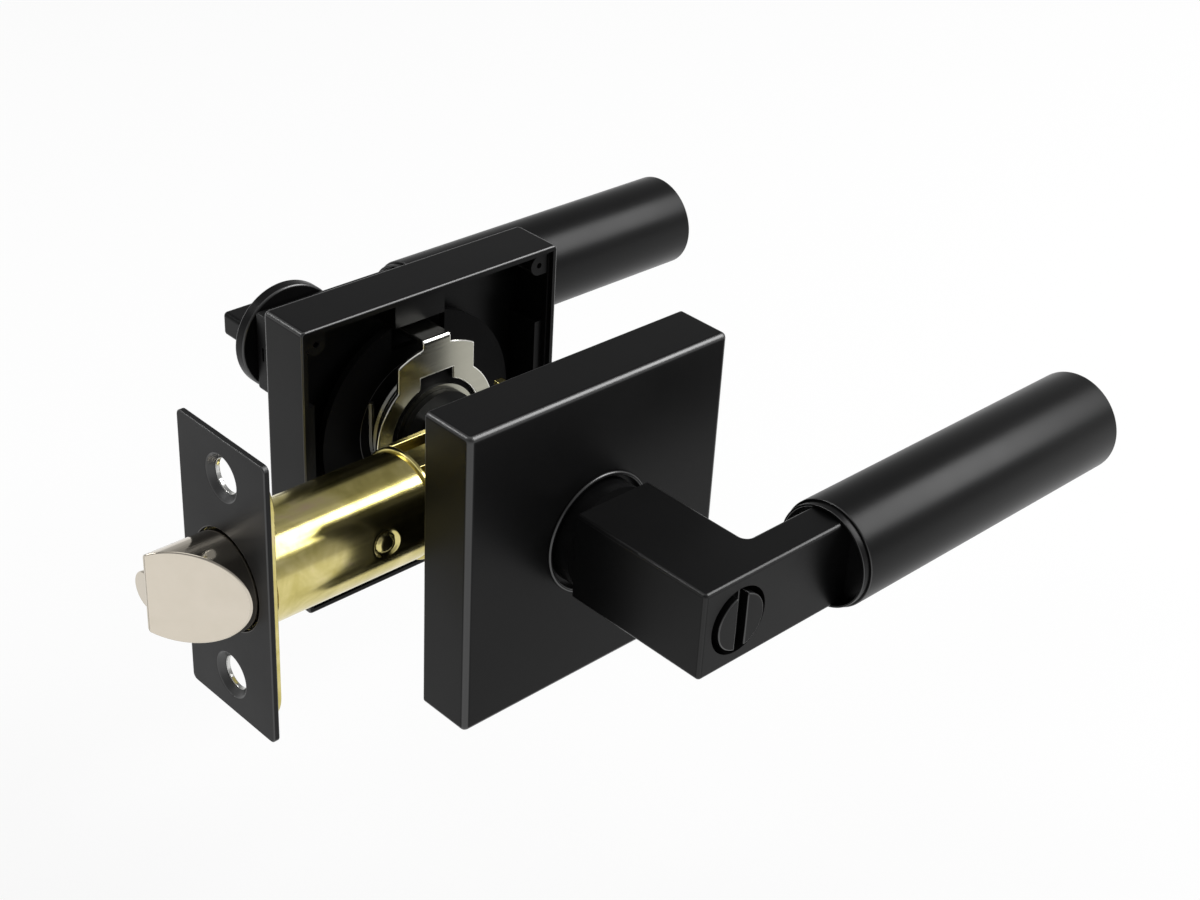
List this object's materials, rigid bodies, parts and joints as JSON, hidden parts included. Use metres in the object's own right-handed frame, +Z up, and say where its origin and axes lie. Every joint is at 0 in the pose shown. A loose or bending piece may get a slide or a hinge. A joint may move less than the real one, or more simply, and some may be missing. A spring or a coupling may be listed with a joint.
{
  "type": "lever lockset",
  "caption": "Privacy lever lockset with square roses, round bar grips on flat elbows, a bevelled latch and a thumb turn.",
  "frame": {"origin": "where the spindle's axis crosses the latch's axis, at the middle of the door's thickness", "axes": "+X from the faceplate towards the grips, +Y through the door from the outside to the inside, +Z up"},
  "size_m": [0.178, 0.1512, 0.062],
  "materials": {
    "black_metal": "satin black",
    "satin_nickel": "satin nickel",
    "plated_steel": "plated",
    "yellow_chromate": "yellow chromate",
    "black_plastic": "matte"
  },
  "bodies": {
    "chassis": {"front_rose": "black_metal", "rear_rose": "black_metal", "front_collar": "black_metal", "rear_collar": "black_metal", "front_carrier": "black_metal", "rear_carrier": "black_metal", "front_retaining_plate": "plated_steel", "rear_retaining_plate": "plated_steel", "front_washer": "black_plastic", "rear_washer": "black_plastic", "front_return_spring": "plated_steel", "rear_return_spring": "plated_steel", "through_bolts": "plated_steel", "faceplate": "black_metal", "backing_plate": "yellow_chromate", "latch_tube": "yellow_chromate", "hub_frame": "yellow_chromate", "bolt_spring": "plated_steel", "plunger_spring": "plated_steel"},
    "outside_lever": {"front_lever": "black_metal", "front_grip": "black_metal", "front_grip_ring": "black_metal", "front_retaining_ring": "plated_steel"},
    "inside_lever": {"rear_lever": "black_metal", "rear_grip": "black_metal", "rear_grip_ring": "black_metal", "rear_retaining_ring": "plated_steel"},
    "hub": {"latch_hub": "yellow_chromate", "spindle": "plated_steel"},
    "bolt": {"latch_bolt": "satin_nickel", "retractor": "yellow_chromate"},
    "deadlatch": {"deadlatch_plunger": "satin_nickel"},
    "turn": {"thumb_turn": "black_metal", "privacy_rod": "plated_steel"},
    "release": {"release_button": "black_metal"}
  },
  "joints": [
    {"name": "outside_lever_turn", "type": "hinge", "parent": "chassis", "child": "outside_lever", "pos_m": [0, 0, 0], "axis": [0, 1, 0], "range_deg": [0, 45], "stiffness_Nm_per_rad": 0.8, "springref_deg": -34.38},
    {"name": "inside_lever_turn", "type": "hinge", "parent": "chassis", "child": "inside_lever", "pos_m": [0, 0, 0], "axis": [0, 1, 0], "range_deg": [0, 45], "stiffness_Nm_per_rad": 0.8, "springref_deg": -34.38},
    {"name": "hub_turn", "type": "hinge", "parent": "chassis", "child": "hub", "pos_m": [0, 0, 0], "axis": [0, 1, 0], "range_deg": [0, 45]},
    {"name": "bolt_slide", "type": "slide", "parent": "chassis", "child": "bolt", "axis": [1, 0, 0], "range_m": [0, 0.0127], "stiffness_N_per_m": 150, "springref_m": -0.02, "deforming": ["bolt_spring", "plunger_spring"]},
    {"name": "plunger_slide", "type": "slide", "parent": "bolt", "child": "deadlatch", "axis": [1, 0, 0], "range_m": [0, 0.007], "stiffness_N_per_m": 120, "springref_m": -0.01, "deforming": ["plunger_spring"]},
    {"name": "thumb_turn_turn", "type": "hinge", "parent": "inside_lever", "child": "turn", "pos_m": [0, 0.0657, 0], "axis": [0, 1, 0], "range_deg": [0, 90]},
    {"name": "release_turn", "type": "hinge", "parent": "outside_lever", "child": "release", "pos_m": [0, -0.065, 0], "axis": [0, 1, 0], "range_deg": [0, 90]}
  ],
  "couplings": [
    {"joint": "inside_lever_turn", "follows": "outside_lever_turn", "ratio": 1},
    {"joint": "hub_turn", "follows": "outside_lever_turn", "ratio": 1},
    {"joint": "bolt_slide", "follows": "outside_lever_turn", "m_per_rad": 0.0159},
    {"joint": "release_turn", "follows": "thumb_turn_turn", "ratio": 1}
  ]
}
